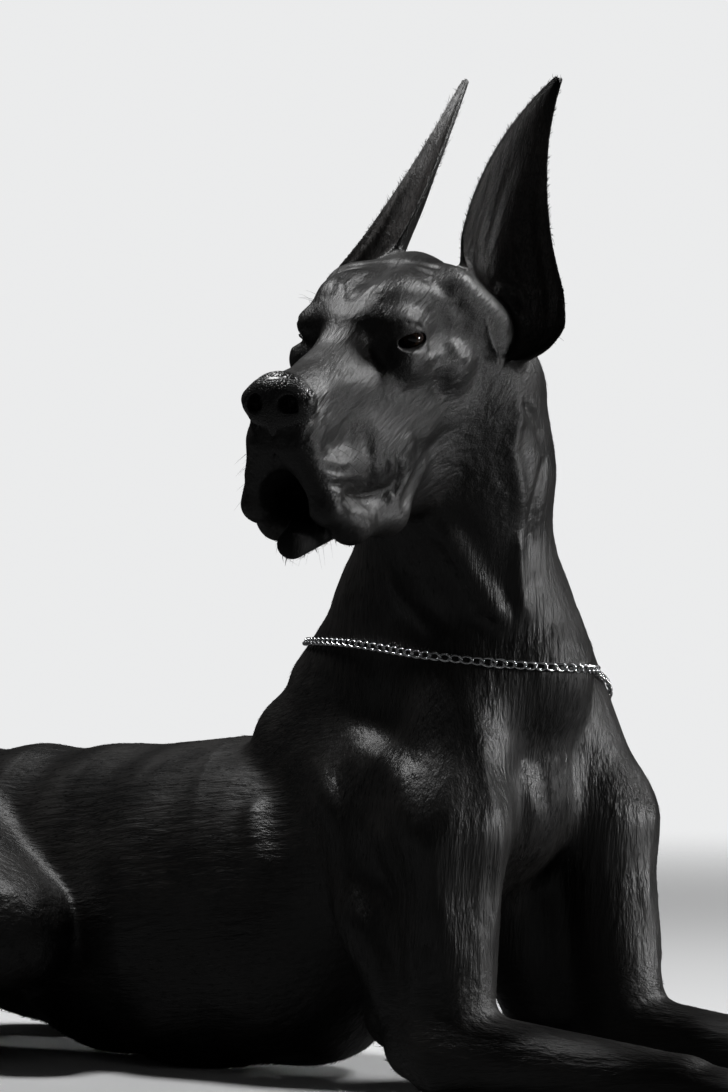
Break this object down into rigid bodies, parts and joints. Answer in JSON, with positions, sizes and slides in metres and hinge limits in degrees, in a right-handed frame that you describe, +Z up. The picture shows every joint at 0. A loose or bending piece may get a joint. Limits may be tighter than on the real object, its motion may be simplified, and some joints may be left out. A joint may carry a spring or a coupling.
{
  "type": "great dane",
  "caption": "Life-size still model of a black great dane lying on its breast, head up and turned to its right, ears cropped and upright, with a loose chain collar.",
  "frame": {"origin": "on the floor, where the lowest point of the breast rests, the middle of the mount breast_rest", "axes": "+X forward along the back, +Y the dog's left, +Z up"},
  "size_m": [1.7717, 0.781, 0.9865],
  "materials": {
    "coat": "short glossy black hair",
    "nose_leather": "moist pebbled black skin",
    "eye": "wet dark brown eye",
    "chain": "polished steel links"
  },
  "bodies": {
    "root": {"head": "coat", "lower_jaw": "coat", "nose": "nose_leather", "eye_left": "eye", "eye_right": "eye", "ear_left": "coat", "ear_right": "coat", "neck": "coat", "chest": "coat", "loin": "coat", "rump": "coat", "upper_arm_left": "coat", "forearm_left": "coat", "forepaw_left": "coat", "thigh_left": "coat", "shank_left": "coat", "hind_foot_left": "coat", "upper_arm_right": "coat", "forearm_right": "coat", "forepaw_right": "coat", "thigh_right": "coat", "shank_right": "coat", "hind_foot_right": "coat", "tail_root": "coat", "tail_middle": "coat", "tail_tip": "coat", "collar_chain": "chain"}
  },
  "joints": []
}
